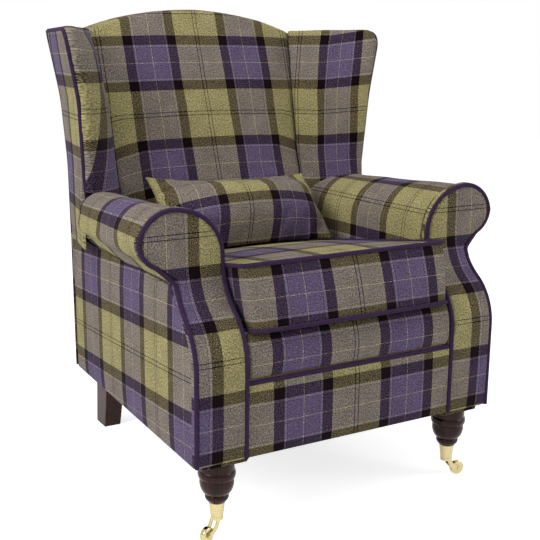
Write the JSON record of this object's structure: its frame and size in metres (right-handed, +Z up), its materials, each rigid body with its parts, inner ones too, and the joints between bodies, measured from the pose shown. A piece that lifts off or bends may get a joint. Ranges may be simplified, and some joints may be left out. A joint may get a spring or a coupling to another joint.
{
  "type": "wing armchair",
  "caption": "High-back fireside armchair with wings, scroll arms, a loose seat cushion, a loose lumbar cushion, turned front legs on brass castors and splayed square rear legs.",
  "frame": {"origin": "on the floor, under the middle of the chair's bounding box", "axes": "+Z up, -Y towards the front of the seat, +X to the viewer's right seen from the front"},
  "size_m": [0.878, 0.8265, 1.057],
  "materials": {
    "plaid_cloth": "wool_twill",
    "piping": "wool_twill",
    "filling": "foam",
    "platform_cloth": "plain_weave",
    "dust_cloth": "nonwoven",
    "webbing": "woven_strap",
    "spring_steel": "drawn",
    "brass": "polished",
    "polished_wood": "french_polished",
    "frame_wood": "sawn"
  },
  "bodies": {
    "chair": {"arm_board_left": "frame_wood", "arm_board_right": "frame_wood", "arm_facing_left": "plaid_cloth", "arm_facing_right": "plaid_cloth", "arm_pad_left": "plaid_cloth", "arm_pad_right": "plaid_cloth", "arm_piping_left": "piping", "arm_piping_right": "piping", "arm_stump_left": "frame_wood", "arm_stump_right": "frame_wood", "back_lower_rail": "frame_wood", "back_post_left": "frame_wood", "back_post_right": "frame_wood", "back_top_rail": "frame_wood", "back_webbing": "webbing", "castor_cup_left": "brass", "castor_cup_right": "brass", "castor_screws": "brass", "castor_stems": "brass", "dust_cover": "dust_cloth", "front_border": "plaid_cloth", "front_border_piping": "piping", "front_leg_blocks": "plaid_cloth", "front_leg_left": "polished_wood", "front_leg_right": "polished_wood", "front_rail": "frame_wood", "inside_back": "plaid_cloth", "leg_bolts": "spring_steel", "outside_arm_left": "plaid_cloth", "outside_arm_right": "plaid_cloth", "outside_back": "plaid_cloth", "outside_wing_left": "plaid_cloth", "outside_wing_right": "plaid_cloth", "rear_corner_blocks": "frame_wood", "rear_leg_left": "polished_wood", "rear_leg_right": "polished_wood", "rear_rail": "frame_wood", "seat_lip": "plaid_cloth", "seat_platform": "platform_cloth", "side_rail_left": "frame_wood", "side_rail_right": "frame_wood", "spring_clips": "spring_steel", "wing_board_left": "frame_wood", "wing_board_right": "frame_wood", "wing_pad_left": "plaid_cloth", "wing_pad_right": "plaid_cloth", "wing_piping_left": "piping", "wing_piping_right": "piping", "zigzag_springs": "spring_steel"},
    "castor_swivel_left": {"castor_horn_left": "brass", "castor_axle_left": "brass"},
    "castor_roller_left": {"castor_wheel_left": "brass"},
    "castor_swivel_right": {"castor_horn_right": "brass", "castor_axle_right": "brass"},
    "castor_roller_right": {"castor_wheel_right": "brass"},
    "seat_cushion": {"seat_cushion_cover": "plaid_cloth", "seat_cushion_foam": "filling", "seat_cushion_piping": "piping"},
    "lumbar_cushion": {"lumbar_cushion_cover": "plaid_cloth", "lumbar_cushion_filling": "filling"}
  },
  "joints": [
    {"name": "castor_swivel_left", "type": "hinge", "parent": "chair", "child": "castor_swivel_left", "pos_m": [-0.299, -0.352, 0.043], "axis": [0, 0, 1], "continuous": true},
    {"name": "castor_roll_left", "type": "hinge", "parent": "castor_swivel_left", "child": "castor_roller_left", "pos_m": [-0.32719, -0.36226, 0.016], "axis": [-0.342, 0.9397, 0], "continuous": true},
    {"name": "castor_swivel_right", "type": "hinge", "parent": "chair", "child": "castor_swivel_right", "pos_m": [0.299, -0.352, 0.043], "axis": [0, 0, 1], "continuous": true},
    {"name": "castor_roll_right", "type": "hinge", "parent": "castor_swivel_right", "child": "castor_roller_right", "pos_m": [0.32871, -0.35618, 0.016], "axis": [-0.1392, -0.9903, 0], "continuous": true},
    {"name": "seat_cushion_lift", "type": "slide", "parent": "chair", "child": "seat_cushion", "axis": [0, 0, 1], "range_m": [0, 0.15]},
    {"name": "lumbar_cushion_lift", "type": "slide", "parent": "seat_cushion", "child": "lumbar_cushion", "axis": [0, 0, 1], "range_m": [0, 0.15]}
  ]
}
